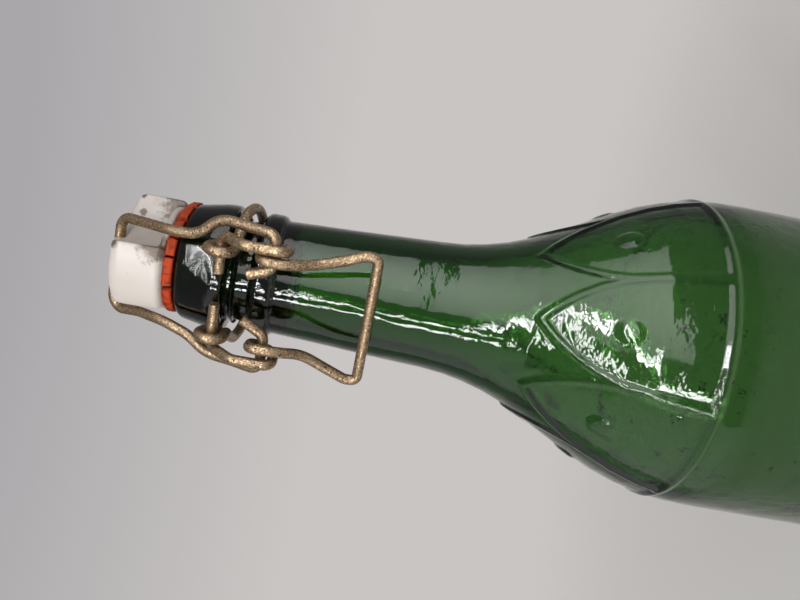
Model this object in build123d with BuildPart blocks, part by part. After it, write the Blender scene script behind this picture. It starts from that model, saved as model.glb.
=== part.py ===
"""Swing top bottle: glass bottle, porcelain stopper, rubber gasket and the three wires of its closure.

Millimetres. +Z is up, the origin is the centre of the base, and the closure's lever hangs down the
front of the neck, which is -Y. The closure is modelled shut.
"""

from build123d import *

import math
import os

# ---- glass -------------------------------------------------------------------------------------
rim_height = 262.0            # base to rim
body_radius = 36.0
body_wall = 3.2
heel_radius = 5.0             # rounding between body and base
bearing_width = 1.8           # of the flat ring that the bottle stands on
bearing_margin = 0.7          # from the ring to the heel's rounding
punt_height = 11.0            # how far the base is pushed up
base_thickness = 6.0

shoulder_drop = 108.2         # rim down to where body and shoulder slope would meet
shoulder_slope = 27.9         # degrees from the axis
shoulder_rounding = 58.0
neck_rounding = 60.0
neck_top_radius = 13.1        # just under the collar bead
neck_taper = 3.1              # degrees from the axis
neck_wall = 4.1

collar_drop = 18.6            # rim down to the middle of the collar bead
collar_radius = 14.2
collar_height = 5.2
groove_drop = 13.7            # rim down to the middle of the wire groove
groove_height = 5.0
groove_radius = 11.5
parting_ridge_drop = 12.6     # thin ridge round the groove
parting_ridge_radius = 12.4
parting_ridge_height = 0.9

finish_radius = 14.5          # thickest part, just above the groove
finish_taper_drop = 8.0       # where it begins to draw in towards the lip
finish_lip_radius = 12.9
finish_rounding = 12.0
lip_rounding = 2.2
bore_radius = 8.5             # mouth and upper neck
mouth_rounding = 1.3

# ---- closure -----------------------------------------------------------------------------------
wire_radius = 1.15
wire_clearance = 0.3          # between a wire and what it passes or goes round
seat_clearance = 0.3          # between gasket and rim

gasket_radius = 12.6
gasket_thickness = 2.0
gasket_fit = 0.1              # round the plug
gasket_edge = 0.5

head_radius = 13.5            # stopper head
head_height = 10.9            # at its edge
head_crown = 2.2              # how much higher the middle is
head_top_rounding = 2.2
head_foot_rounding = 1.4
channel_depth = 2.0           # of the channel that the bail crosses in, below the crown
channel_flare = 9.0           # degrees that each side of the channel opens
scoop_radius = 12.0           # hollow in each side of the head, which a bail leg swings through
scoop_out = (16.5, 21.0)      # middle of the right and the left scoop's arc, from the axis
scoop_front = 6.4             # and how far to the front
flange_radius = 11.8          # thin foot of the head, which the scoops leave whole
flange_height = 1.6
plug_root_radius = 6.4
plug_tip_radius = 5.0
plug_depth = 4.6              # below the rim
plug_rounding = 1.2

pivot_drop = 10.2             # lever pivots: below the rim, and in front of the axis
pivot_front = 15.8
hook_drop = 21.5              # bail hooks
hook_front = 18.3
crossbar_front = 3.0          # bail crossbar
crossbar_skew = 0.5           # how much its left end stands higher, and its right end lower
ring_slack = 2.05             # how much wider the neck ring is than its groove needs

# The closure is bent by hand, so its two sides differ. Each pair is right (+X), then left, from
# the axis outwards.
eye_half = (9.2, 10.2)        # middle of each neck ring eye
rise_half = (12.6, 12.2)      # neck ring a little behind each eye
pin_half = (3.9, 3.1)         # inner end of each lever pivot
outer_strand_half = (12.3, 12.8)   # lever strand between pivot and eyelet
inner_strand_half = (9.7, 9.5)     # lever strand between eyelet and handle
bar_half = (13.2, 15.3)
hook_tip_half = (5.6, 4.4)    # inner end of each bail hook
hook_turn_half = (7.4, 7.3)   # and where it turns up
crossbar_half = (8.4, 13.4)
# Lever leg from the eyelet down: half width, how far in front of the handle bar, height above it.
lever_legs = (
    [(9.8, 1.4, 12.6), (11.3, 0.4, 7.4)],
    [(10.6, 1.4, 12.6), (13.2, 0.4, 7.4)],
)
# Bail leg from the crossbar down: half width, how far forward, and drop from the rim.
bail_legs = (
    [(9.1, 7.0, -8.0), (9.8, 11.2, -1.6), (10.2, 12.7, 4.6), (15.0, 13.5, 8.9), (14.9, 16.2, 16.0)],
    [(11.6, 7.0, -8.0), (11.1, 11.1, -1.2), (12.6, 12.6, 4.6), (15.6, 13.8, 9.1), (15.4, 16.0, 15.5)],
)
bar_drop = 42.6               # lever's handle bar
tight_bend = 1.9              # bend radii of the wire's middle line
hook_bend = 2.4
open_bend = 3.0
slow_bend = 10.0


def below_rim(drop):
    """Height of a point that lies this far below the rim."""
    return rim_height - drop


def both_sides(right, left):
    """A wire's whole route from its two halves, whose rows are half width, y, z and bend radius."""
    return right + [(-half, y, z, bend) for half, y, z, bend in reversed(left)]


def wire_path(route):
    """The middle line: straight runs with a bend at each row, less where the runs are short."""
    places = [Vector(x, y, z) for x, y, z, bend in route]
    bends = []
    for index in range(1, len(route) - 1):
        run_in = places[index] - places[index - 1]
        run_out = places[index + 1] - places[index]
        half_turn = math.radians(run_in.get_angle(run_out) / 2)
        room = 0.47 * min(run_in.length, run_out.length) / math.tan(half_turn)
        bends.append(min(room, route[index][3]))
    return FilletPolyline(*places, radius=bends)


# ---- glass bottle ------------------------------------------------------------------------------
slope = math.tan(math.radians(shoulder_slope))
taper = math.tan(math.radians(neck_taper))
neck_top_drop = collar_drop + collar_height / 2 + 0.4
# The neck's and the shoulder's straight lines meet at this depth under the rim.
neck_meets_shoulder = (
    neck_top_radius - taper * neck_top_drop - body_radius + slope * shoulder_drop
) / (slope - taper)
neck_foot_radius = neck_top_radius + taper * (neck_meets_shoulder - neck_top_drop)
groove_top_drop = groove_drop - groove_height / 2
groove_foot_drop = groove_drop + groove_height / 2
ridge_half = parting_ridge_height / 2
bearing_radius = body_radius - heel_radius - bearing_margin - bearing_width
inner_body_radius = body_radius - body_wall
floor_height = base_thickness
heel_inner_rounding = heel_radius + 2
crown_floor = punt_height + base_thickness

with BuildPart() as bottle:
    with BuildSketch(Plane.XZ) as section:
        with BuildLine() as outline:
            # base, from the axis outwards, then up the heel
            base = Polyline(
                (0, punt_height),
                (bearing_radius * 0.55, punt_height * 0.72),
                (bearing_radius, 0),
                (bearing_radius + bearing_width, 0),
            )
            side = FilletPolyline(
                base @ 1,
                (body_radius, 0),
                (body_radius, below_rim(shoulder_drop)),
                (neck_foot_radius, below_rim(neck_meets_shoulder)),
                (neck_top_radius, below_rim(neck_top_drop)),
                radius=[heel_radius, shoulder_rounding, neck_rounding],
            )
            collar = FilletPolyline(
                side @ 1,
                (collar_radius, below_rim(collar_drop + collar_height / 2 - 0.4)),
                (collar_radius, below_rim(collar_drop - collar_height / 2 + 0.6)),
                (groove_radius, below_rim(groove_foot_drop)),
                (groove_radius, below_rim(parting_ridge_drop + ridge_half)),
                radius=[1.8, 1.8, 0.5],
            )
            ridge = Polyline(
                collar @ 1,
                (parting_ridge_radius, below_rim(parting_ridge_drop + ridge_half / 3)),
                (parting_ridge_radius, below_rim(parting_ridge_drop - ridge_half / 3)),
                (groove_radius, below_rim(parting_ridge_drop - ridge_half)),
            )
            finish = FilletPolyline(
                ridge @ 1,
                (groove_radius, below_rim(groove_top_drop)),
                (finish_radius, below_rim(groove_top_drop - 0.5)),
                (finish_radius, below_rim(finish_taper_drop)),
                (finish_lip_radius, rim_height),
                (bore_radius, rim_height),
                (bore_radius, below_rim(groove_drop)),
                radius=[0.25, 1.0, finish_rounding, lip_rounding, mouth_rounding],
            )
            inside = FilletPolyline(
                finish @ 1,
                (bore_radius + 0.2, below_rim(neck_top_drop)),
                (neck_foot_radius - neck_wall, below_rim(neck_meets_shoulder)),
                (inner_body_radius, below_rim(shoulder_drop)),
                (inner_body_radius, floor_height),
                (bearing_radius * 0.55, punt_height * 0.72 + base_thickness),
                (0, crown_floor),
                radius=[20, neck_rounding, shoulder_rounding - body_wall, heel_inner_rounding, 12],
            )
            axis_line = Line(inside @ 1, base @ 0)
        make_face()
    revolve(axis=Axis.Z)
bottle.part.label = "bottle"

# ---- gasket ------------------------------------------------------------------------------------
gasket_foot = rim_height + seat_clearance
gasket_top = gasket_foot + gasket_thickness

with BuildPart() as gasket:
    with BuildSketch(Plane.XY.offset(gasket_foot)):
        Circle(gasket_radius)
        Circle(plug_root_radius + gasket_fit, mode=Mode.SUBTRACT)
    extrude(amount=gasket_thickness)
    outer_edges = gasket.edges().filter_by(GeomType.CIRCLE).group_by(SortBy.RADIUS)[-1]
    fillet(outer_edges, gasket_edge)
gasket.part.label = "gasket"

# ---- porcelain stopper -------------------------------------------------------------------------
crossbar_height = gasket_top + head_height + head_crown - channel_depth + wire_radius + wire_clearance
crossbar_drop = rim_height - crossbar_height
channel_half = wire_radius + wire_clearance + 0.6
channel_floor = crossbar_height - wire_radius - wire_clearance - crossbar_skew
crown_height = gasket_top + head_height + head_crown

with BuildPart() as stopper:
    with BuildSketch(Plane.XZ):
        with BuildLine():
            foot = FilletPolyline(
                (0, below_rim(plug_depth)),
                (plug_tip_radius, below_rim(plug_depth)),
                (plug_root_radius, gasket_foot),
                (plug_root_radius, gasket_top),
                radius=[plug_rounding, 2.0],
            )
            underside = FilletPolyline(
                foot @ 1,
                (head_radius, gasket_top),
                (head_radius, gasket_top + head_height),
                (head_radius * 0.55, gasket_top + head_height + head_crown * 0.72),
                (0, crown_height),
                radius=[head_foot_rounding, head_top_rounding, 12],
            )
            Line(underside @ 1, foot @ 0)
        make_face()
    revolve(axis=Axis.Z)
    # channel across the crown, wider at its ends than in the middle
    with BuildSketch(Plane.XY.offset(channel_floor)):
        with Locations((0, -crossbar_front)):
            flare = math.tan(math.radians(channel_flare)) * head_radius
            for turn in (0, 180):
                with Locations(Rotation(0, 0, turn)):
                    Polygon(
                        (0, -channel_half),
                        (head_radius * 1.2, -channel_half - flare),
                        (head_radius * 1.2, channel_half + flare),
                        (0, channel_half),
                        align=None,
                    )
    extrude(amount=head_crown * 2, mode=Mode.SUBTRACT)
    # a scoop in each side, where a bail leg passes
    with BuildSketch(Plane.XY.offset(gasket_top - 1)):
        with Locations((scoop_out[0], -scoop_front), (-scoop_out[1], -scoop_front)):
            Circle(scoop_radius)
    extrude(amount=head_height * 2, mode=Mode.SUBTRACT)
    with BuildSketch(Plane.XY.offset(gasket_top)):
        Circle(flange_radius)
    extrude(amount=flange_height)
stopper.part.label = "stopper"

# ---- neck ring ---------------------------------------------------------------------------------
ring_radius = groove_radius + wire_clearance + wire_radius + ring_slack
ring_back_drop = groove_foot_drop - wire_radius - 0.15
ring_side_drop = ring_back_drop - 1.5
eye_radius = 2 * wire_radius + wire_clearance
eye_foot_drop = pivot_drop + eye_radius
pivot_height = below_rim(pivot_drop)


def eye_point(out, angle):
    """A point on an eye's middle line: 0 is its lowest point, and the angle grows towards the front."""
    turn = math.radians(angle)
    forward = pivot_front + eye_radius * math.sin(turn)
    return (out, -forward, pivot_height - eye_radius * math.cos(turn))


with BuildPart() as neck_ring:
    with BuildLine() as ring_route:
        # the ring lies in the groove at the back only, and stands off at the sides and in front
        back = ThreePointArc(
            (ring_radius, -ring_slack, below_rim(ring_side_drop)),
            (0, ring_radius - ring_slack, below_rim(ring_back_drop)),
            (-ring_radius, -ring_slack, below_rim(ring_side_drop)),
        )
        for side, half, rise in ((1, eye_half[0], rise_half[0]), (-1, eye_half[1], rise_half[1])):
            route = [
                (side * ring_radius, -ring_slack, below_rim(ring_side_drop), 0),
                (side * ring_radius, -ring_slack - 3.0, below_rim(ring_side_drop - 0.3), 6.0),
                (side * rise, -pivot_front + 5.9, below_rim(eye_foot_drop), 6.0),
                (side * half, -pivot_front + 2.5, below_rim(eye_foot_drop), 3.0),
                (side * half, -pivot_front, below_rim(eye_foot_drop), 0),
            ]
            wire_path(route)
            ThreePointArc(*[eye_point(side * half, angle) for angle in (0, 150, 300)])
    route_ends = ring_route.wires()[0]
    with BuildSketch(Plane(origin=route_ends @ 0, z_dir=route_ends % 0)):
        Circle(wire_radius)
    sweep(path=route_ends)
neck_ring.part.label = "neck_ring"

# ---- lever -------------------------------------------------------------------------------------
hook_height = below_rim(hook_drop)
loop_radius = 2 * wire_radius + wire_clearance
loop_front = -hook_front - loop_radius
loop_back = -hook_front + loop_radius
bar_y = -(neck_top_radius + taper * (bar_drop - neck_top_drop)) - wire_radius - wire_clearance


def lever_side(index):
    """One side of the lever, from the inner end of its pivot to the handle bar."""
    outer, inner, corner = outer_strand_half[index], inner_strand_half[index], bar_half[index]
    rows = [
        (pin_half[index], -pivot_front, pivot_height, 0),
        (outer, -pivot_front, pivot_height, tight_bend),
        (outer, loop_front, pivot_height - 5.5, open_bend),
        (outer, loop_front, hook_height - loop_radius, tight_bend),
        (outer - 0.9, loop_back, hook_height - loop_radius, tight_bend),
        (inner + 0.9, loop_back, hook_height + loop_radius, tight_bend),
        (inner, loop_front, hook_height + loop_radius, tight_bend),
        (inner, loop_front + 0.1, hook_height - loop_radius - 0.6, slow_bend),
    ]
    for half, forward, rise in lever_legs[index]:
        rows.append((half, bar_y - forward, below_rim(bar_drop) + rise, slow_bend))
    rows.append((corner, bar_y, below_rim(bar_drop) + 2.6, open_bend))
    rows.append((corner - 0.2, bar_y, below_rim(bar_drop), tight_bend))
    return rows


with BuildPart() as lever:
    with BuildLine() as lever_route:
        wire_path(both_sides(lever_side(0), lever_side(1)))
    lever_wire = lever_route.wires()[0]
    with BuildSketch(Plane(origin=lever_wire @ 0, z_dir=lever_wire % 0)):
        Circle(wire_radius)
    sweep(path=lever_wire)
lever.part.label = "lever"

# ---- bail --------------------------------------------------------------------------------------


def bail_side(index):
    """One side of the bail, from the inner end of its hook to the crossbar."""
    outside = outer_strand_half[index] + 2 * wire_radius + wire_clearance
    rows = [
        (hook_tip_half[index], -hook_front - 0.2, hook_height + 4.9, 0),
        (hook_turn_half[index], -hook_front, hook_height - 0.1, hook_bend),
        (outside, -hook_front, hook_height, tight_bend + 0.3),
    ]
    for half, forward, drop in reversed(bail_legs[index]):
        rows.append((half, -forward, below_rim(drop), slow_bend))
    skew = (-crossbar_skew, crossbar_skew)[index]
    rows.append((crossbar_half[index], -crossbar_front, crossbar_height + skew, open_bend))
    return rows


with BuildPart() as bail:
    with BuildLine() as bail_route:
        wire_path(both_sides(bail_side(0), bail_side(1)))
    bail_wire = bail_route.wires()[0]
    with BuildSketch(Plane(origin=bail_wire @ 0, z_dir=bail_wire % 0)):
        Circle(wire_radius)
    sweep(path=bail_wire)
bail.part.label = "bail"

os.makedirs("parts", exist_ok=True)
for piece in (bottle, gasket, stopper, neck_ring, lever, bail):
    export_step(piece.part, f"parts/{piece.part.label}.step")
    print(piece.part.label, "volume", round(piece.part.volume, 1), "valid", piece.part.is_valid)
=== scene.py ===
# %% [markdown]
# # A swing top bottle
#
# This lesson dresses a swing top bottle. The shapes that fit and move come from a CAD model, which
# is loaded as the frame and never changed. Blender adds what a CAD solid can't show: wavy green
# glass with a raised pattern, glazed porcelain with age stains, cracked rubber and worn steel wire.
#
# Everything is in metres, and +Z is up. Sizes are written in millimetres where they are easier to
# read, and `mm` turns them into metres.

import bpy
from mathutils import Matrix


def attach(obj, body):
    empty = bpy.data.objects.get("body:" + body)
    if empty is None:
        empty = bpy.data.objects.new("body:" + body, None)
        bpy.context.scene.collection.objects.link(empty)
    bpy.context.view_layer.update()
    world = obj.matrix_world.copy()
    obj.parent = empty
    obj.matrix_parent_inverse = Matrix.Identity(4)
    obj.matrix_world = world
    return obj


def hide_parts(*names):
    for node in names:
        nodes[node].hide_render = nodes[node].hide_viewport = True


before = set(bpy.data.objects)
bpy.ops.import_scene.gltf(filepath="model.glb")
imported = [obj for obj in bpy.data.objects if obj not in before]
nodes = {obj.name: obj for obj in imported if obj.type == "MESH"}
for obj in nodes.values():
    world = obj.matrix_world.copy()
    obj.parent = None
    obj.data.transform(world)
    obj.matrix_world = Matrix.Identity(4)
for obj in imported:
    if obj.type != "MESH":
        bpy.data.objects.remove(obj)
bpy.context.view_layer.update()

# %% Modules and units
import math

import bmesh
import bpy
from mathutils import Matrix, Vector

mm = 0.001
scene = bpy.context.scene
print("CAD nodes:", ", ".join(sorted(nodes)))

# %% [markdown]
# ## Helpers for materials
#
# Screens store colours in sRGB, where the steps look even to the eye, but light adds up in linear
# values. One function does that change, so every colour below is written as the hex code that it
# shows. A second function adds a node, sets its values and links its inputs in one line, which
# keeps each material short.


# %% Colour and node helpers
def hex_colour(code, alpha=1.0):
    """A hex sRGB colour as linear red, green, blue and alpha."""
    values = []
    for start in (0, 2, 4):
        value = int(code.lstrip("#")[start : start + 2], 16) / 255
        values.append(value / 12.92 if value <= 0.04045 else ((value + 0.055) / 1.055) ** 2.4)
    return (*values, alpha)


def add_node(tree, kind, settings=None, **inputs):
    """Adds a node. A socket among the inputs is linked, and any other value is set."""
    node = tree.nodes.new(kind)
    for name, value in (settings or {}).items():
        setattr(node, name, value)
    for name, value in inputs.items():
        key = int(name[1:]) if name[0] == "_" and name[1:].isdigit() else name.replace("_", " ")
        socket = node.inputs[key]
        if isinstance(value, bpy.types.NodeSocket):
            tree.links.new(value, socket)
        else:
            socket.default_value = value
    return node


def new_material(name):
    """An empty material with its output: (material, tree, output node)."""
    material = bpy.data.materials.new(name)
    material.use_nodes = True
    tree = material.node_tree
    tree.nodes.clear()
    return material, tree, tree.nodes.new("ShaderNodeOutputMaterial")


print("white is", hex_colour("#FFFFFF"))

# %% [markdown]
# Materials and Geometry Nodes both work with fields: numbers that differ from place to place. The
# functions below do one step of arithmetic each, so that a field can be written almost like a sum.


# %% Field helpers
def calc(tree, operation, *values, clamp=False):
    """One step of arithmetic on fields."""
    step = add_node(tree, "ShaderNodeMath", {"operation": operation, "use_clamp": clamp})
    for index, value in enumerate(values):
        if isinstance(value, bpy.types.NodeSocket):
            tree.links.new(value, step.inputs[index])
        else:
            step.inputs[index].default_value = value
    return step.outputs[0]


def length_of(tree, first, second):
    """The long side of a right triangle with these two short sides."""
    squares = [calc(tree, "MULTIPLY", side, side) for side in (first, second)]
    return calc(tree, "SQRT", calc(tree, "ADD", *squares))


def soft_step(tree, value, low, high):
    """0 below one value, 1 above the other and a smooth change between them."""
    smooth = {"interpolation_type": "SMOOTHSTEP"}
    step = add_node(tree, "ShaderNodeMapRange", smooth, Value=value, From_Min=low, From_Max=high)
    return step.outputs[0]


def noise_at(tree, coords, size_mm, detail, roughness=0.5):
    """A noise between 0 and 1 whose largest spots are about this size."""
    kind = "ShaderNodeTexNoise"
    node = add_node(tree, kind, Vector=coords, Scale=1 / (size_mm * mm), Detail=detail, Roughness=roughness)
    return node.outputs[0]


def blend(tree, share, first, second):
    """Goes from one colour to the other as the share goes from 0 to 1. A colour may be a hex code."""
    first, second = (hex_colour(colour) if isinstance(colour, str) else colour for colour in (first, second))
    mixed = add_node(tree, "ShaderNodeMix", {"data_type": "RGBA"}, Factor=share, _6=first, _7=second)
    return mixed.outputs[2]


def bump(tree, strength, depth_mm, height, below=None):
    """A bump of this depth, on top of another bump where one is given."""
    under = {"Normal": below} if below else {}
    node = add_node(tree, "ShaderNodeBump", Strength=strength, Distance=depth_mm * mm, Height=height, **under)
    return node.outputs[0]


def object_coordinates(tree):
    """The place on the piece, and the same as three numbers."""
    coords = add_node(tree, "ShaderNodeTexCoord").outputs["Object"]
    return coords, add_node(tree, "ShaderNodeSeparateXYZ", Vector=coords).outputs


print("helpers ready")


# %% Node group helper
def new_group(name, sizes):
    """A Geometry Nodes group with an input for each size: (group, input node, identifiers)."""
    group = bpy.data.node_groups.new(name, "GeometryNodeTree")
    group.interface.new_socket("Geometry", in_out="INPUT", socket_type="NodeSocketGeometry")
    identifiers = {}
    for input_name, value in sizes.items():
        socket = group.interface.new_socket(input_name, in_out="INPUT", socket_type="NodeSocketFloat")
        socket.default_value = value
        identifiers[input_name] = socket.identifier
    group.interface.new_socket("Geometry", in_out="OUTPUT", socket_type="NodeSocketGeometry")
    return group, add_node(group, "NodeGroupInput"), identifiers


def move_points(group, group_in, offset):
    """The end of a group: moves the points, realizes instances and sets the material."""
    moved = add_node(group, "GeometryNodeSetPosition", Geometry=group_in.outputs["Geometry"], Offset=offset)
    real = add_node(group, "GeometryNodeRealizeInstances", Geometry=moved.outputs[0])
    coated = add_node(group, "GeometryNodeSetMaterial", Geometry=real.outputs[0])
    add_node(group, "NodeGroupOutput", Geometry=coated.outputs[0])
    print(f"{group.name}: {len(group.nodes)} nodes")


# %% Shape helpers
SMALL_ROUNDING = 3.0  # mm; roundings up to this radius need fewer rows
SMALL_ARC_STEP = 12.0  # degrees from row to row on them


def rounded_outline(corners, arc_step=6.0):
    """Points of a line through (x, z, radius) corners, each rounded by its radius, in mm."""
    points = [Vector(corners[0][:2])]
    for before, corner, after in zip(corners, corners[1:], corners[2:]):
        here = Vector(corner[:2])
        run_in = (here - Vector(before[:2])).normalized()
        run_out = (Vector(after[:2]) - here).normalized()
        turn = run_in.angle_signed(run_out)
        if corner[2] == 0 or abs(turn) < 1e-6:
            points.append(here)
            continue
        reach = corner[2] * math.tan(abs(turn) / 2)
        start = here - run_in * reach
        step = arc_step if corner[2] > SMALL_ROUNDING else max(arc_step, SMALL_ARC_STEP)
        steps = max(2, math.ceil(math.degrees(abs(turn)) / step))
        side = Vector((run_in.y, -run_in.x)) * (1 if turn > 0 else -1)
        centre = start + side * corner[2]
        for index in range(steps + 1):
            turned = Matrix.Rotation(-turn * index / steps, 2) @ (start - centre)
            points.append(centre + turned)
    points.append(Vector(corners[-1][:2]))
    return points


def spaced(points, spacing):
    """The same line with points at most spacing(z) mm apart."""
    line = [points[0]]
    for point in points[1:]:
        run = point - line[-1]
        count = max(1, math.ceil(run.length / spacing((point.y + line[-1].y) / 2)))
        start = line[-1].copy()
        line += [start + run * (index / count) for index in range(1, count + 1)]
    return line


def finish_piece(obj, body, replaced=(), material=None):
    """Smooth faces, a material, the CAD body it moves with and the nodes it stands for."""
    for face in obj.data.polygons:
        face.use_smooth = True
    if material:
        obj.data.materials.clear()
        obj.data.materials.append(material)
    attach(obj, body)
    if replaced:
        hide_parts(*replaced)
    triangles = sum(len(face.vertices) - 2 for face in obj.data.polygons)
    print(f"{obj.name}: {triangles} triangles on {body}")


# %% [markdown]
# ## The outline of the bottle
#
# A bottle is blown or pressed in a turned mould, so one outline, spun round the axis, gives both the
# outer skin and the hollow. The outline below has the CAD model's sizes: heel, body, shoulder, neck,
# collar bead, wire groove and the finish, which is the thick ring of glass round the mouth. Only the
# body is 0.05 mm slimmer, so that its waves stay inside the CAD model's box. The rows of points are
# close together only where something is raised, so that the mesh stays light.

# %% Bottle outline
RIM = 262.0  # heights in mm from here on
SHOULDER_CORNER = RIM - 108.2  # where the body's line and the shoulder's would meet
NECK_CORNER = RIM - 69.89  # where the shoulder's line and the neck's would meet
COLLAR_FOOT = RIM - 21.6
BORE_END = RIM - 13.7
outer_corners = [
    (0, 11.0, 0),
    (15.7, 7.9, 30),
    (28.5, 0, 0.8),
    (30.3, 0, 0.8),
    (35.95, 0, 5.0),
    (35.95, SHOULDER_CORNER, 58.0),
    (15.72, NECK_CORNER, 60.0),
    (13.1, COLLAR_FOOT, 0.9),
    (14.2, RIM - 20.8, 1.8),
    (14.2, RIM - 16.6, 1.8),
    (11.5, RIM - 16.2, 0.5),
    (11.5, RIM - 13.1, 0.3),
    (12.4, RIM - 12.75, 0.25),
    (12.4, RIM - 12.45, 0.25),
    (11.5, RIM - 12.1, 0.3),
    (11.5, RIM - 11.2, 0.25),
    (14.5, RIM - 10.7, 1.0),
    (14.5, RIM - 8.0, 12.0),
    (12.9, RIM, 2.2),
    (8.5, RIM, 1.3),
    (8.5, BORE_END, 0),
]
inner_corners = [
    (8.5, BORE_END, 0),
    (8.7, COLLAR_FOOT, 20),
    (11.62, NECK_CORNER, 60.0),
    (32.8, SHOULDER_CORNER, 54.8),
    (32.8, 6.0, 7.0),
    (15.7, 13.9, 12.0),
    (0, 17.0, 0),
]


FINE_FROM, FINE_TO = 143.0, 192.0  # the heights between which the shoulder carries its pattern
FINISH_FOOT = RIM - 24
INNER_SPACING = 6.0


def outer_spacing(height):
    """How far apart the rows lie at a height, in mm."""
    if height < FINE_FROM:
        return 4.0
    if height < FINE_TO:
        return 0.6
    return 2.0 if height < FINISH_FOOT else 0.7


outer_rows = spaced(rounded_outline(outer_corners), outer_spacing)
inner_rows = spaced(rounded_outline(inner_corners), lambda height: INNER_SPACING)
print(len(outer_rows), "outer rows and", len(inner_rows), "inner rows")

# %% [markdown]
# ## Spinning the outline
#
# Each row of the outline becomes a ring of points. The shoulder carries fine raised lines, so its
# rings have twice as many points as the plain body and the neck. Where a coarse ring meets a fine
# one, three triangles fill each step. The two ends of the outline lie on the axis and close the
# skin there, so the glass is one closed shell with a real thickness: that is what lets light bend
# and darken in it as it does in a real wall of glass.

# %% Spin the glass
COARSE = 208
FINE = 2 * COARSE
ON_AXIS = 0.01


def spin_glass(name, rows):
    """A closed shell from rows of (radius, height) in mm, whose ends are on the axis."""
    shell = bmesh.new()
    rings = []
    for row, (radius, height) in enumerate(rows):
        if radius < ON_AXIS:
            rings.append([shell.verts.new((0, 0, height * mm))])
            continue
        outside = row < len(outer_rows)
        count = FINE if outside and FINE_FROM < height < FINE_TO else COARSE
        ring = []
        for index in range(count):
            angle = 2 * math.pi * index / count
            x, y = radius * math.cos(angle), radius * math.sin(angle)
            ring.append(shell.verts.new((x * mm, y * mm, height * mm)))
        rings.append(ring)
    for lower, upper in zip(rings, rings[1:]):
        if len(lower) == 1 or len(upper) == 1:
            tip, ring = (lower[0], upper) if len(lower) == 1 else (upper[0], lower)
            for index in range(len(ring)):
                shell.faces.new((tip, ring[index], ring[(index + 1) % len(ring)]))
        elif len(lower) == len(upper):
            for index in range(len(lower)):
                after = (index + 1) % len(lower)
                shell.faces.new((lower[index], lower[after], upper[after], upper[index]))
        else:
            few, many = (lower, upper) if len(lower) < len(upper) else (upper, lower)
            for index in range(len(few)):
                after = (index + 1) % len(few)
                a, b, c = (many[(2 * index + k) % len(many)] for k in range(3))
                shell.faces.new((few[index], a, b))
                shell.faces.new((few[index], b, few[after]))
                shell.faces.new((few[after], b, c))
    bmesh.ops.recalc_face_normals(shell, faces=shell.faces)
    mesh = bpy.data.meshes.new(name)
    shell.to_mesh(mesh)
    shell.free()
    piece = bpy.data.objects.new(name, mesh)
    scene.collection.objects.link(piece)
    return piece


glass = spin_glass("glass_bottle", outer_rows + inner_rows[1:])
print("glass shell:", len(glass.data.vertices), "points")

# %% [markdown]
# ## The raised arcade on the shoulder
#
# Old bottles often carry a pattern that was cut into the mould, so that it stands up from the glass
# in soft rounded lines. This one is a plain arcade: pointed arches side by side round the shoulder,
# a bead in each, and a ring under them. It follows a rule, so Geometry Nodes make it: each point is
# moved outwards by a height that depends only on its angle round the axis and its height. A much
# longer wave makes the wall uneven, as hand-worked glass is.

# %% Geometry nodes for the arcade
arcade_sizes = {
    "Arches": 8.0,
    "Reference Radius": 28 * mm,
    "Spring Height": 165 * mm,
    "Foot Height": 150 * mm,
    "Stroke Width": 2.0 * mm,
    "Stroke Height": 0.5 * mm,
    "Bead Radius": 2.6 * mm,
    "Wave Length": 38 * mm,
    "Wave Height": 0.9 * mm,
}
arcade, group_in, arcade_inputs = new_group("raised_arcade", arcade_sizes)


def ridge(tree, distance, width):
    """1 on a line and 0 beyond half its width, with round sides."""
    share = calc(tree, "DIVIDE", distance, calc(tree, "MULTIPLY", width, 0.5))
    inside = calc(tree, "SUBTRACT", 1.0, calc(tree, "MULTIPLY", share, share), clamp=True)
    return calc(tree, "MULTIPLY", inside, calc(tree, "SUBTRACT", 2.0, inside))


size = {name: group_in.outputs[name] for name in arcade_sizes}
position = add_node(arcade, "GeometryNodeInputPosition").outputs[0]
px, py, pz = add_node(arcade, "ShaderNodeSeparateXYZ", Vector=position).outputs
radius_here = length_of(arcade, px, py)
turn = calc(arcade, "DIVIDE", calc(arcade, "ARCTAN2", px, calc(arcade, "MULTIPLY", py, -1.0)), 2 * math.pi)
in_arch = calc(arcade, "FRACT", calc(arcade, "MULTIPLY", turn, size["Arches"]))
step_share = calc(arcade, "SUBTRACT", in_arch, 0.5)
way_round = calc(arcade, "MULTIPLY", size["Reference Radius"], 2 * math.pi)
arch_width = calc(arcade, "DIVIDE", way_round, size["Arches"])
half_arch = calc(arcade, "MULTIPLY", arch_width, 0.5)
across = calc(arcade, "ABSOLUTE", calc(arcade, "MULTIPLY", step_share, arch_width))
above_spring = calc(arcade, "SUBTRACT", pz, size["Spring Height"])
print("arcade tree so far:", len(arcade.nodes), "nodes")

# %% [markdown]
# A pointed arch is two arcs, each drawn from the foot of the other side. Folding the pattern about
# the middle of an arch leaves one arc to describe: all points as far from the far foot as the arch
# is wide. Below its foot the arc goes on as a straight post.

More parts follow.
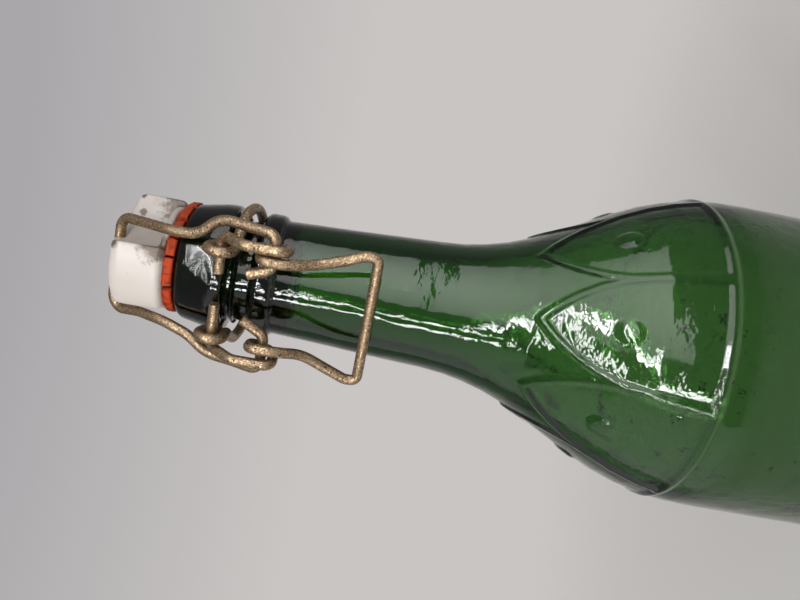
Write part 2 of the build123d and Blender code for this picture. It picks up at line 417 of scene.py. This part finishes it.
# %% Arches, posts, beads and the ring
BEAD_RISE = 3 * mm
far_foot = calc(arcade, "ADD", across, half_arch)
to_far_foot = length_of(arcade, far_foot, calc(arcade, "MAXIMUM", above_spring, 0.0))
to_arch = calc(arcade, "ABSOLUTE", calc(arcade, "SUBTRACT", to_far_foot, arch_width))
under_foot = calc(arcade, "MAXIMUM", calc(arcade, "SUBTRACT", size["Foot Height"], pz), 0.0)
arch_lines = ridge(arcade, calc(arcade, "ADD", to_arch, under_foot), size["Stroke Width"])
to_ring = calc(arcade, "ABSOLUTE", calc(arcade, "SUBTRACT", pz, size["Foot Height"]))
ring_line = ridge(arcade, to_ring, size["Stroke Width"])
to_bead = length_of(arcade, across, calc(arcade, "SUBTRACT", above_spring, BEAD_RISE))
beads = ridge(arcade, to_bead, calc(arcade, "MULTIPLY", size["Bead Radius"], 2.0))
pattern = calc(arcade, "MAXIMUM", calc(arcade, "MAXIMUM", arch_lines, ring_line), beads)
print("arcade tree:", len(arcade.nodes), "nodes")

# %% [markdown]
# Only the outer skin carries the pattern, so a point must also lie near the outer radius at its
# height. The inner wall is always further in. The shoulder is nearly a straight slope, so a simple
# limit on the radius tells the two apart. The long wave moves both walls alike, mostly inwards, and
# fades out at the heel and under the finish, where the bottle has to keep its shape.

# %% Move the points
BODY_RADIUS = 36.0
SHOULDER_SLOPE = 0.5295  # how fast the shoulder's radius shrinks with height
SKIN_DEPTH = 3.4
WAVE_MIDDLE = 0.62  # noise above this pushes outwards
WAVE_FROM, WAVE_TO = 12.0, 238.0
WAVE_FADE = 25.0  # over this height at each end
past_corner = calc(arcade, "SUBTRACT", pz, SHOULDER_CORNER * mm)
narrower = calc(arcade, "MULTIPLY", past_corner, SHOULDER_SLOPE)
slope_radius = calc(arcade, "SUBTRACT", BODY_RADIUS * mm, narrower)
skin_radius = calc(arcade, "MINIMUM", slope_radius, BODY_RADIUS * mm)
skin_limit = calc(arcade, "SUBTRACT", skin_radius, SKIN_DEPTH * mm)
on_outside = calc(arcade, "GREATER_THAN", radius_here, skin_limit)
lift = calc(arcade, "MULTIPLY", calc(arcade, "MULTIPLY", pattern, on_outside), size["Stroke Height"])
wave_scale = calc(arcade, "DIVIDE", 1.0, size["Wave Length"])
wave = add_node(arcade, "ShaderNodeTexNoise", {"noise_dimensions": "3D"}, Scale=wave_scale, Detail=1.0)
below_end = calc(arcade, "SUBTRACT", WAVE_TO * mm, pz)
above_heel = calc(arcade, "SUBTRACT", pz, WAVE_FROM * mm)
wave_share = calc(arcade, "SUBTRACT", wave.outputs[0], WAVE_MIDDLE)
wave_lift = calc(arcade, "MULTIPLY", wave_share, size["Wave Height"])
for room in (below_end, above_heel):
    wave_lift = calc(arcade, "MULTIPLY", wave_lift, calc(arcade, "DIVIDE", room, WAVE_FADE * mm, clamp=True))
outwards = calc(arcade, "ADD", lift, wave_lift)
away_x, away_y = (calc(arcade, "DIVIDE", part, radius_here) for part in (px, py))
direction = add_node(arcade, "ShaderNodeCombineXYZ", X=away_x, Y=away_y)
scale = {"operation": "SCALE"}
offset = add_node(arcade, "ShaderNodeVectorMath", scale, _0=direction.outputs[0], Scale=outwards)
move_points(arcade, group_in, offset.outputs[0])

# %% [markdown]
# ## Green bottle glass
#
# Bottle glass gets its green from iron and chromium all through it, so a thick wall is darker than
# a thin one and an edge seen along the wall is nearly black. A volume that absorbs red and blue
# more than green gives just that, and the surface itself stays clear. The density is worked out
# from the wall: through two walls of 3.2 mm about a twentieth of the red and a sixth of the green
# are left. The surface isn't quite flat either: slow ripples and a fine orange peel from the mould
# tear the edge of every reflection, and both are bumps, far too small to be worth modelling.
#
# An old bottle isn't clean inside: a few crumbs of dried beer and rust, some of them golden, have
# stuck low down. The bore behind the closure gets a dark film as well, and that film is painted
# shade: it stands for the shadow that the plug and the gasket cast into the bore. Where there is
# dirt or painted shade, the same shader turns dark and stops letting light through.

# %% Glass surface
glass_material, tree, output = new_material("green_bottle_glass")
coords, (gx, gy, gz) = object_coordinates(tree)
ripple_bump = bump(tree, 1.0, 0.38, noise_at(tree, coords, 15, 2.0))
peel_bump = bump(tree, 1.0, 0.11, noise_at(tree, coords, 4.2, 3.0, 0.6), ripple_bump)
print("glass surface:", len(tree.nodes), "nodes")

# %% [markdown]
# The finish was shaped with a turning tool while the glass was soft, and the tool left fine rings
# that wander a little. They are a noise that is squeezed along the axis: about half a millimetre
# from ring to ring, and nine times as long round the bottle.

# %% Tool marks on the finish
SQUEEZE = 9.0
MARKS_FROM, MARKS_TO = FINISH_FOOT, RIM - 20  # the marks fade in between these heights
squeezed = add_node(tree, "ShaderNodeMapping", Vector=coords, Scale=(1.0, 1.0, SQUEEZE))
tool_marks = noise_at(tree, squeezed.outputs[0], 5, 2.0)
on_finish = add_node(tree, "ShaderNodeMapRange", Value=gz, From_Min=MARKS_FROM * mm, From_Max=MARKS_TO * mm)
tool_bump = bump(tree, 1.0, 0.035, calc(tree, "MULTIPLY", tool_marks, on_finish.outputs[0]), peel_bump)
print("with tool marks:", len(tree.nodes), "nodes")

# %% Dirt and painted shade in the bottle
# the film inside the bore is painted shade
BORE_REACH = 9.8  # mm from the axis; the film lies within it
INNER_REACH = 34.0  # likewise the crumbs on the body's inner wall
DIRT_FROM, DIRT_TO = RIM - 88, RIM - 100  # crumbs lie below these heights
from_axis = length_of(tree, gx, gy)
# painted shade: a dark film in the bore, below the closure, stands for the shadow of the plug and the gasket
bore_shade_height = calc(tree, "ADD", gz, calc(tree, "MULTIPLY", noise_at(tree, coords, 6, 3.0), 6 * mm))
in_bore = calc(tree, "LESS_THAN", from_axis, BORE_REACH * mm)
bore_shade = calc(tree, "MULTIPLY", soft_step(tree, bore_shade_height, FINISH_FOOT * mm, (RIM - 21) * mm), in_bore)
past_corner = calc(tree, "MAXIMUM", calc(tree, "SUBTRACT", gz, SHOULDER_CORNER * mm), 0.0)
inner_limit = calc(tree, "SUBTRACT", INNER_REACH * mm, calc(tree, "MULTIPLY", past_corner, SHOULDER_SLOPE))
on_inner_wall = calc(tree, "LESS_THAN", from_axis, inner_limit)
low_down = calc(tree, "SUBTRACT", 1.0, soft_step(tree, gz, DIRT_TO * mm, DIRT_FROM * mm))
drifts = soft_step(tree, noise_at(tree, coords, 22, 1.0), 0.50, 0.58)
drifts = calc(tree, "MULTIPLY", drifts, calc(tree, "MULTIPLY", low_down, on_inner_wall))
crumbs = calc(tree, "MULTIPLY", soft_step(tree, noise_at(tree, coords, 3.4, 4.0, 0.65), 0.63, 0.65), drifts)
glints = calc(tree, "MULTIPLY", soft_step(tree, noise_at(tree, coords, 1.1, 2.0, 0.6), 0.74, 0.76), drifts)
dirt_and_shade = calc(tree, "MAXIMUM", calc(tree, "MAXIMUM", bore_shade, crumbs), glints)
# painted shade: where the film lies the glass is painted near black (#15120D), the colour the real crumbs
# also get
tinted = blend(tree, glints, blend(tree, dirt_and_shade, "#FFFFFF", "#15120D"), "#E0B060")
print("dirt:", len(tree.nodes), "nodes")

# %% Glass shader
clear = add_node(
    tree,
    "ShaderNodeBsdfPrincipled",
    Base_Color=tinted,
    Roughness=calc(tree, "MULTIPLY", dirt_and_shade, 0.5),
    IOR=1.52,
    Transmission_Weight=calc(tree, "SUBTRACT", 1.0, dirt_and_shade),
    Normal=tool_bump,
)
green = add_node(tree, "ShaderNodeVolumeAbsorption", Color=(0.16, 0.52, 0.0, 1), Density=570.0)
tree.links.new(clear.outputs[0], output.inputs["Surface"])
tree.links.new(green.outputs[0], output.inputs["Volume"])
print("glass material:", len(tree.nodes), "nodes")


# %% Apply the arcade
def apply_nodes(obj, group, identifiers, values, material):
    """Runs a geometry node group on an object once and keeps the result as a plain mesh."""
    for node in group.nodes:
        if node.bl_idname == "GeometryNodeSetMaterial":
            node.inputs["Material"].default_value = material
    modifier = obj.modifiers.new("shape", "NODES")
    modifier.node_group = group
    for name, value in values.items():
        modifier[identifiers[name]] = value
    depsgraph = bpy.context.evaluated_depsgraph_get()
    shaped = bpy.data.meshes.new_from_object(obj.evaluated_get(depsgraph), depsgraph=depsgraph)
    obj.modifiers.remove(modifier)
    obj.data = shaped


apply_nodes(glass, arcade, arcade_inputs, arcade_sizes, glass_material)
finish_piece(glass, "bottle_body", ["bottle"], glass_material)

# %% [markdown]
# ## Glazed porcelain
#
# The stopper is slip-cast porcelain, dipped in glaze and fired. The glaze runs a little, so no edge
# of the real one is sharp. The CAD solid has the right form with sharp edges, so a copy of it is
# rebuilt from small even cells and smoothed, which rounds every edge by about half a millimetre.

# %% Stopper shape
def melted_copy(name, source, cell, passes):
    """A copy of a CAD node rebuilt from cells of one size in mm and smoothed."""
    mesh = source.data.copy()
    mesh.name = name
    work = bmesh.new()
    work.from_mesh(mesh)
    bmesh.ops.remove_doubles(work, verts=work.verts, dist=0.002 * mm)
    work.to_mesh(mesh)
    work.free()
    piece = bpy.data.objects.new(name, mesh)
    scene.collection.objects.link(piece)
    remesh = piece.modifiers.new("cells", "REMESH")
    remesh.mode = "VOXEL"
    remesh.voxel_size = cell * mm
    smooth = piece.modifiers.new("smooth", "SMOOTH")
    smooth.factor = 0.5
    smooth.iterations = passes
    depsgraph = bpy.context.evaluated_depsgraph_get()
    shaped = bpy.data.meshes.new_from_object(piece.evaluated_get(depsgraph), depsgraph=depsgraph)
    piece.modifiers.clear()
    piece.data = shaped
    return piece


stopper = melted_copy("porcelain_stopper", nodes["stopper"], 0.3, 30)
print("stopper:", len(stopper.data.vertices), "points")

# %% [markdown]
# Beer and rust have left brown stains where the glaze stays wet longest: on the edges of the two
# scoops that the bail swings through, and at the foot of the head. The largest spot, at the foot of
# the head on the far side next to the rubber, is painted shade in the same brown. Each spot is soft
# with a ragged outline, given by its place and its radius. A few pinholes in the glaze have taken up
# dirt as well.

# %% Stains and painted shade on the porcelain
porcelain, tree, output = new_material("glazed_porcelain")
coords = object_coordinates(tree)[0]
ragged = noise_at(tree, coords, 1.5, 4.0, 0.7)
STAIN_AND_SHADE_SPOTS = [
    # across and forward from the axis, height above the rim, and radius, in mm
    (5.2, 11.4, 4.4, 4.0),
    (6.4, 10.6, 3.2, 2.8),
    (5.2, 11.8, 13.2, 1.8),
    # painted shade: this spot browns the foot of the head on the far side, where it meets the rubber
    (9.8, -5.4, 4.2, 5.4),
    (8.6, -2.6, 11.6, 1.2),
    (11.8, -5.0, 12.4, 1.0),
    (-8.8, 9.8, 13.8, 1.6),
    (-12.6, -3.0, 4.6, 3.0),
]
FRAY = 1.6  # how far the noise pushes a stain's edge in and out
stain_and_shade = 0.0
for across, forward, up, reach in STAIN_AND_SHADE_SPOTS:
    middle = (across * mm, -forward * mm, (RIM + up) * mm)
    gap = add_node(tree, "ShaderNodeVectorMath", {"operation": "DISTANCE"}, _0=coords, _1=middle)
    near = calc(tree, "SUBTRACT", 1.0, calc(tree, "DIVIDE", gap.outputs["Value"], reach * mm))
    frayed = calc(tree, "ADD", near, calc(tree, "MULTIPLY", calc(tree, "SUBTRACT", ragged, 0.5), FRAY))
    stain_and_shade = calc(tree, "MAXIMUM", stain_and_shade, soft_step(tree, frayed, 0.0, 0.6))
pinholes = soft_step(tree, noise_at(tree, coords, 0.8, 1.0), 0.77, 0.81)
print("stains:", len(STAIN_AND_SHADE_SPOTS))

# %% Porcelain shader
warm = blend(tree, noise_at(tree, coords, 7, 3.0, 0.6), "#E4DDD6", "#D9CFC6")
# painted shade: the same brown paints the shade at the foot of the head as well as the real stains
stained_and_shaded = blend(tree, calc(tree, "MULTIPLY", stain_and_shade, 0.95), warm, "#6E5B4A")
specked = blend(tree, pinholes, stained_and_shaded, "#6A5843")
glaze = add_node(tree, "ShaderNodeBsdfPrincipled", Base_Color=specked, Roughness=0.32, IOR=1.5)
tree.links.new(glaze.outputs[0], output.inputs["Surface"])
finish_piece(stopper, "stopper_body", ["stopper"], porcelain)

# %% [markdown]
# ## Perished rubber
#
# The gasket is a flat ring of red rubber. With age its rim hardens and splits into blocks with
# gaps between them, and the shade in the gaps is painted nearly black in the rubber's material. The
# ring is spun as a small outline, and Geometry Nodes pull the rim in along narrow lines whose places
# come from a cell pattern round the ring, so that the blocks differ in length as real cracks make them.

# %% Gasket ring
GASKET_LOW, GASKET_HIGH = RIM + 0.3, RIM + 2.3
BORE_RADIUS, GASKET_RADIUS = 6.6, 12.5
EDGE_ROUNDING = 0.5
GASKET_STEPS = 900
GASKET_SPACING = 0.45
gasket_corners = [
    (BORE_RADIUS, GASKET_LOW, 0),
    (GASKET_RADIUS, GASKET_LOW, EDGE_ROUNDING),
    (GASKET_RADIUS, GASKET_HIGH, EDGE_ROUNDING),
    (BORE_RADIUS, GASKET_HIGH, 0),
    (BORE_RADIUS, GASKET_LOW, 0),
]
gasket_outline = rounded_outline(gasket_corners, 15.0)
gasket_rows = spaced(gasket_outline, lambda height: GASKET_SPACING)[:-1]
ring_mesh = bmesh.new()
rings = []
angles = [2 * math.pi * index / GASKET_STEPS for index in range(GASKET_STEPS)]
for radius, height in gasket_rows:
    places = [(radius * mm * math.cos(a), radius * mm * math.sin(a), height * mm) for a in angles]
    rings.append([ring_mesh.verts.new(place) for place in places])
for row, ring in enumerate(rings):
    above = rings[(row + 1) % len(rings)]
    for index in range(GASKET_STEPS):
        after = (index + 1) % GASKET_STEPS
        ring_mesh.faces.new((ring[index], ring[after], above[after], above[index]))
bmesh.ops.recalc_face_normals(ring_mesh, faces=ring_mesh.faces)
gasket_mesh = bpy.data.meshes.new("rubber_gasket")
ring_mesh.to_mesh(gasket_mesh)
ring_mesh.free()
gasket = bpy.data.objects.new("rubber_gasket", gasket_mesh)
scene.collection.objects.link(gasket)
print("gasket:", len(gasket_mesh.vertices), "points")

# %% Geometry nodes for the cracks
SOLID_TO = 9.5  # mm from the axis; the rubber inside this radius keeps its shape
crack_sizes = {
    "Blocks": 17.0,
    "Crack Width": 0.16,
    "Crack Depth": 1.7 * mm,
    "Unevenness": 0.6 * mm,
    "Bulge": 1.3 * mm,
    "Droop": 1.7 * mm,
    "Bulge Angle": math.radians(40),
}
cracks, group_in, crack_inputs = new_group("rubber_cracks", crack_sizes)
size = {name: group_in.outputs[name] for name in crack_sizes}
position = add_node(cracks, "GeometryNodeInputPosition").outputs[0]
px, py, _ = add_node(cracks, "ShaderNodeSeparateXYZ", Vector=position).outputs
radius_here = length_of(cracks, px, py)
turn = calc(cracks, "ADD", calc(cracks, "DIVIDE", calc(cracks, "ARCTAN2", px, py), 2 * math.pi), 0.5)
wobble = calc(cracks, "MULTIPLY", noise_at(cracks, position, 1.6, 2.0), 0.2)
wobbled = calc(cracks, "ADD", calc(cracks, "MULTIPLY", turn, size["Blocks"]), wobble)
cells = add_node(
    cracks,
    "ShaderNodeTexVoronoi",
    {"voronoi_dimensions": "1D", "feature": "DISTANCE_TO_EDGE"},
    W=wobbled,
    Scale=1.0,
    Randomness=1.0,
)
opening = add_node(cracks, "ShaderNodeTexNoise", {"noise_dimensions": "1D"}, W=turn, Scale=9.0, Detail=1.0)
open_share = soft_step(cracks, opening.outputs[0], 0.35, 0.75)
crack_width = calc(cracks, "MULTIPLY", size["Crack Width"], calc(cracks, "ADD", 0.25, open_share))
from_crack = calc(cracks, "DIVIDE", cells.outputs["Distance"], crack_width)
near = calc(cracks, "SUBTRACT", 1.0, from_crack, clamp=True)
rim_share = calc(cracks, "SUBTRACT", radius_here, SOLID_TO * mm)
rim_share = calc(cracks, "DIVIDE", rim_share, (GASKET_RADIUS - SOLID_TO) * mm, clamp=True)
uneven = calc(cracks, "MULTIPLY", noise_at(cracks, position, 2.0, 3.0), size["Unevenness"])
pull = calc(cracks, "ADD", calc(cracks, "MULTIPLY", near, size["Crack Depth"]), uneven)
print("crack tree so far:", len(cracks.nodes), "nodes")

# %% [markdown]
# The ring has slid to one side on its plug, so on that side it stands out past the mouth and its
# edge hangs down over the lip. The bulge and the droop both fade with the angle from that side, and
# the droop grows with the square of the distance past the part that keeps its shape. It starts
# before the lip itself turns down, so the underside sinks up to 0.9 mm into the glass there.

# %% Bulge and droop
from_bulge = calc(cracks, "SUBTRACT", calc(cracks, "ARCTAN2", py, px), size["Bulge Angle"])
bulge_share = calc(cracks, "MAXIMUM", calc(cracks, "COSINE", from_bulge), 0.0)
outward_push = calc(cracks, "SUBTRACT", calc(cracks, "MULTIPLY", bulge_share, size["Bulge"]), pull)
outwards = calc(cracks, "MULTIPLY", outward_push, rim_share)
rim_square = calc(cracks, "MULTIPLY", rim_share, rim_share)
droop = calc(cracks, "MULTIPLY", rim_square, calc(cracks, "MULTIPLY", bulge_share, size["Droop"]))
away = [calc(cracks, "DIVIDE", part, radius_here) for part in (px, py)]
push_x, push_y = (calc(cracks, "MULTIPLY", part, outwards) for part in away)
push = add_node(cracks, "ShaderNodeCombineXYZ", X=push_x, Y=push_y, Z=calc(cracks, "MULTIPLY", droop, -1.0))
move_points(cracks, group_in, push.outputs[0])

# %% Rubber material
rubber, tree, output = new_material("perished_red_rubber")
coords, (rx, ry, _) = object_coordinates(tree)
# painted shade: rubber closer than 10.9 mm to the axis, which takes in the floors of the cracks, is painted
# nearly black (#1A110C) and fades to orange by 11.7 mm
crack_shade = calc(tree, "SUBTRACT", 1.0, soft_step(tree, length_of(tree, rx, ry), 10.9 * mm, 11.7 * mm))
dust = noise_at(tree, coords, 1.4, 4.0, 0.7)
orange = blend(tree, soft_step(tree, dust, 0.46, 0.72), "#C4420E", "#6B2812")
crack_shaded = blend(tree, crack_shade, orange, "#1A110C")
skin = add_node(
    tree,
    "ShaderNodeBsdfPrincipled",
    Base_Color=crack_shaded,
    Roughness=0.7,
    IOR=1.5,
    Specular_IOR_Level=0.25,
    Normal=bump(tree, 0.6, 0.08, dust),
)
tree.links.new(skin.outputs[0], output.inputs["Surface"])
apply_nodes(gasket, cracks, crack_inputs, crack_sizes, rubber)
finish_piece(gasket, "stopper_body", ["gasket"], rubber)

# %% [markdown]
# ## Aged steel wire
#
# The closure is bent from drawn steel wire that was once tinned. Most of the tin has gone dull and
# brown-grey, handling has worn the high places to small grains of warm bright metal, and rust has
# eaten dark pits between them. Three noise patterns make that: broad patches, worn grains of about
# 0.4 mm and pits of about 0.6 mm. The grains stand up a little and are smoother, and the pits sink
# in, so that light breaks on them.

# %% Wire pattern
wire, tree, output = new_material("aged_tinned_steel_wire")
coords = object_coordinates(tree)[0]
patches = noise_at(tree, coords, 5, 2.0, 0.6)
patch_line = add_node(tree, "ShaderNodeMapRange", Value=patches, From_Min=0.35, From_Max=0.65)
grains = noise_at(tree, coords, 0.42, 3.0, 0.6)
grain_line = soft_step(tree, grains, 0.48, 0.68)
pit_line = soft_step(tree, noise_at(tree, coords, 0.6, 3.0, 0.6), 0.60, 0.66)
print("wire pattern:", len(tree.nodes), "nodes")

# %% Wire shader
worn = blend(tree, grain_line, blend(tree, patch_line.outputs[0], "#8E7A62", "#7E6B58"), "#D2B48C")
roughness = add_node(tree, "ShaderNodeMapRange", Value=grain_line, To_Min=0.5, To_Max=0.34)
relief = calc(tree, "SUBTRACT", grains, calc(tree, "MULTIPLY", pit_line, 0.4))
steel = add_node(
    tree,
    "ShaderNodeBsdfPrincipled",
    Base_Color=blend(tree, pit_line, worn, "#33261B"),
    Metallic=0.9,
    Roughness=roughness.outputs[0],
    Normal=bump(tree, 1.0, 0.045, relief),
)
tree.links.new(steel.outputs[0], output.inputs["Surface"])
for wire_node in ("neck_ring", "lever", "bail"):
    wire_mesh = nodes[wire_node].data
    wire_mesh.materials.clear()
    wire_mesh.materials.append(wire)
    print(wire_node, len(wire_mesh.polygons), "faces, worn steel")

# %% [markdown]
# ## Floor, light and background
#
# The floor is a plain pale disc that fades out at its rim, so that no edge shows behind the bottle.
# Whatever looks at the world directly, in a mirror or through glass sees a pale grey that darkens a
# little upwards, and everything else gets a plain level of light. In reflections the world is darker,
# except straight behind the bottle, as in a room whose lit side is seen only through the glass.
#
# Two tall windows and the brace of a roof window draw the long bright lines on the neck. The
# skylights make the highlight on the finish, and two large dim cards give the milky patches. The
# lower skylight and the cards light nothing: they only show in reflections.

# %% Floor
FLOOR_RADIUS = 1.2
FLOOR_DROP = 0.0005  # a hair under the base, so that the two don't flicker
FADE_FROM, FADE_TO = 0.15, 0.6
floor_mesh = bpy.data.meshes.new("floor")
disc = bmesh.new()
bmesh.ops.create_circle(disc, cap_ends=True, segments=96, radius=FLOOR_RADIUS)
disc.to_mesh(floor_mesh)
disc.free()
floor = bpy.data.objects.new("floor", floor_mesh)
floor.location = (0, 0, -FLOOR_DROP)
scene.collection.objects.link(floor)
floor_material, tree, output = new_material("pale_floor")
coords = object_coordinates(tree)[0]
reach = add_node(tree, "ShaderNodeVectorMath", {"operation": "LENGTH"}, _0=coords)
fade = soft_step(tree, reach.outputs["Value"], FADE_FROM, FADE_TO)
paper = add_node(tree, "ShaderNodeBsdfDiffuse", Color=hex_colour("#F0EDEA"))
through = add_node(tree, "ShaderNodeBsdfTransparent")
faded = add_node(tree, "ShaderNodeMixShader", _0=fade, _1=paper.outputs[0], _2=through.outputs[0])
tree.links.new(faded.outputs[0], output.inputs["Surface"])
floor_mesh.materials.append(floor_material)
print("floor: fades between", FADE_FROM, "and", FADE_TO, "m")

# %% World
FRONT = math.radians(19)  # the side that is looked at, round from -Y
scene.view_settings.view_transform = "Standard"
world = bpy.data.worlds.new("pale_room")
scene.world = world
world.use_nodes = True
tree = world.node_tree
tree.nodes.clear()
direction = add_node(tree, "ShaderNodeTexCoord").outputs["Generated"]
sky = add_node(tree, "ShaderNodeSeparateXYZ", Vector=direction)
height = add_node(tree, "ShaderNodeMapRange", Value=sky.outputs[2], From_Min=0.02, From_Max=0.42)
backdrop = blend(tree, height.outputs[0], "#C9C5C3", "#A9A7AA")
looks = add_node(tree, "ShaderNodeLightPath")
to_viewer = (math.sin(FRONT), -math.cos(FRONT), 0)
to_front = add_node(tree, "ShaderNodeVectorMath", {"operation": "DOT_PRODUCT"}, _0=direction, _1=to_viewer)
not_behind = soft_step(tree, to_front.outputs["Value"], -0.97, -0.55)
dim = calc(tree, "MULTIPLY", not_behind, looks.outputs["Is Glossy Ray"])
room = blend(tree, dim, backdrop, "#7E7E80")
seen = calc(tree, "ADD", looks.outputs["Is Camera Ray"], looks.outputs["Is Glossy Ray"])
seen = calc(tree, "ADD", seen, looks.outputs["Is Transmission Ray"], clamp=True)
seen_light = add_node(tree, "ShaderNodeBackground", Color=room, Strength=1.0)
fill_light = add_node(tree, "ShaderNodeBackground", Color=hex_colour("#F2F1F0"), Strength=0.45)
either = add_node(tree, "ShaderNodeMixShader", _0=seen, _1=fill_light.outputs[0], _2=seen_light.outputs[0])
add_node(tree, "ShaderNodeOutputWorld", Surface=either.outputs[0])
print("world ready")

# %% Camera
LOOK_AT = Vector((0, 0, (RIM - 49.6) * mm))
CAMERA_DISTANCE = 0.168
CAMERA_RISE = math.radians(4)
CAMERA_ROLL = math.radians(10.3)  # the bottle lies on its side in the picture, tipped by this much
CAMERA_SHIFT = -0.28 * mm
PICTURE_WIDTH = 800
FOCAL_PIXELS = 717


def from_axis_towards(azimuth, rise):
    """The direction with this angle round from -Y and this angle above the level."""
    return Vector((math.sin(azimuth) * math.cos(rise), -math.cos(azimuth) * math.cos(rise), math.sin(rise)))


back = from_axis_towards(FRONT, CAMERA_RISE)
up_axis = (Vector((0, 0, 1)) - back * back.z).normalized()
side_axis = up_axis.cross(back)
camera_right = -math.cos(CAMERA_ROLL) * up_axis + math.sin(CAMERA_ROLL) * side_axis
camera_up = math.sin(CAMERA_ROLL) * up_axis + math.cos(CAMERA_ROLL) * side_axis
camera_data = bpy.data.cameras.new("camera")
camera_data.sensor_width = 36.0
camera_data.lens = FOCAL_PIXELS / PICTURE_WIDTH * camera_data.sensor_width
camera_data.clip_start = 0.005
camera_data.clip_end = 10
camera = bpy.data.objects.new("camera", camera_data)
scene.collection.objects.link(camera)
turned = Matrix((camera_right, camera_up, back)).transposed().to_4x4()
camera.matrix_world = Matrix.Translation(LOOK_AT + back * CAMERA_DISTANCE + camera_up * CAMERA_SHIFT) @ turned
scene.camera = camera
print("camera at", [round(v, 4) for v in camera.matrix_world.translation])


# %% Lights
def soft_light(name, azimuth_deg, elevation_deg, distance, low, high, width, radiance, tilt_deg=0):
    """A flat lamp that faces the bottle's axis; at elevation 0 it reaches from low to high, in m.

    It looks equally bright from any side. A tilt raises the end that lies further round from -Y.
    """
    data = bpy.data.lights.new(name, "AREA")
    data.shape = "RECTANGLE"
    data.size, data.size_y = width, high - low
    data.energy = radiance * math.pi * width * (high - low)
    lamp = bpy.data.objects.new(name, data)
    away = from_axis_towards(math.radians(azimuth_deg), math.radians(elevation_deg))
    target = Vector((0, 0, (low + high) / 2))
    tilt = Matrix.Rotation(math.radians(tilt_deg), 4, "Z")
    facing = away.to_track_quat("Z", "Y").to_matrix().to_4x4() @ tilt
    lamp.matrix_world = Matrix.Translation(target + away * distance) @ facing
    lamp.visible_camera = False
    scene.collection.objects.link(lamp)
    print(f"{name}: {data.energy:.2f} W over {width} by {high - low:.2f} m")
    return lamp


soft_light("window_left", -12, 0, 1.0, 0.02, 0.52, 0.05, 22.0)
soft_light("window_right", -24, 0, 1.0, 0.02, 0.52, 0.05, 22.0)
soft_light("window_brace", 9, 21, 1.0, 0.185, 0.21, 0.9, 14.0, 29)
soft_light("skylight_high", 12, 33, 1.0, 0.235, 0.27, 1.3, 20.0, 12)
CARD_SPREAD = math.radians(125)  # less than 180 softens what is seen from the side
for card in (
    soft_light("skylight_low", 18, 25, 1.0, 0.235, 0.265, 0.9, 22.0, 24),
    soft_light("right_card", 54.5, 0, 0.2, 0.205, 0.36, 0.4, 1.55),
    soft_light("left_card", -58, 0, 0.5, -0.1, 0.45, 0.62, 0.3),
):
    card.visible_diffuse = False
    card.data.spread = CARD_SPREAD
print("the last three lamps show only in reflections")
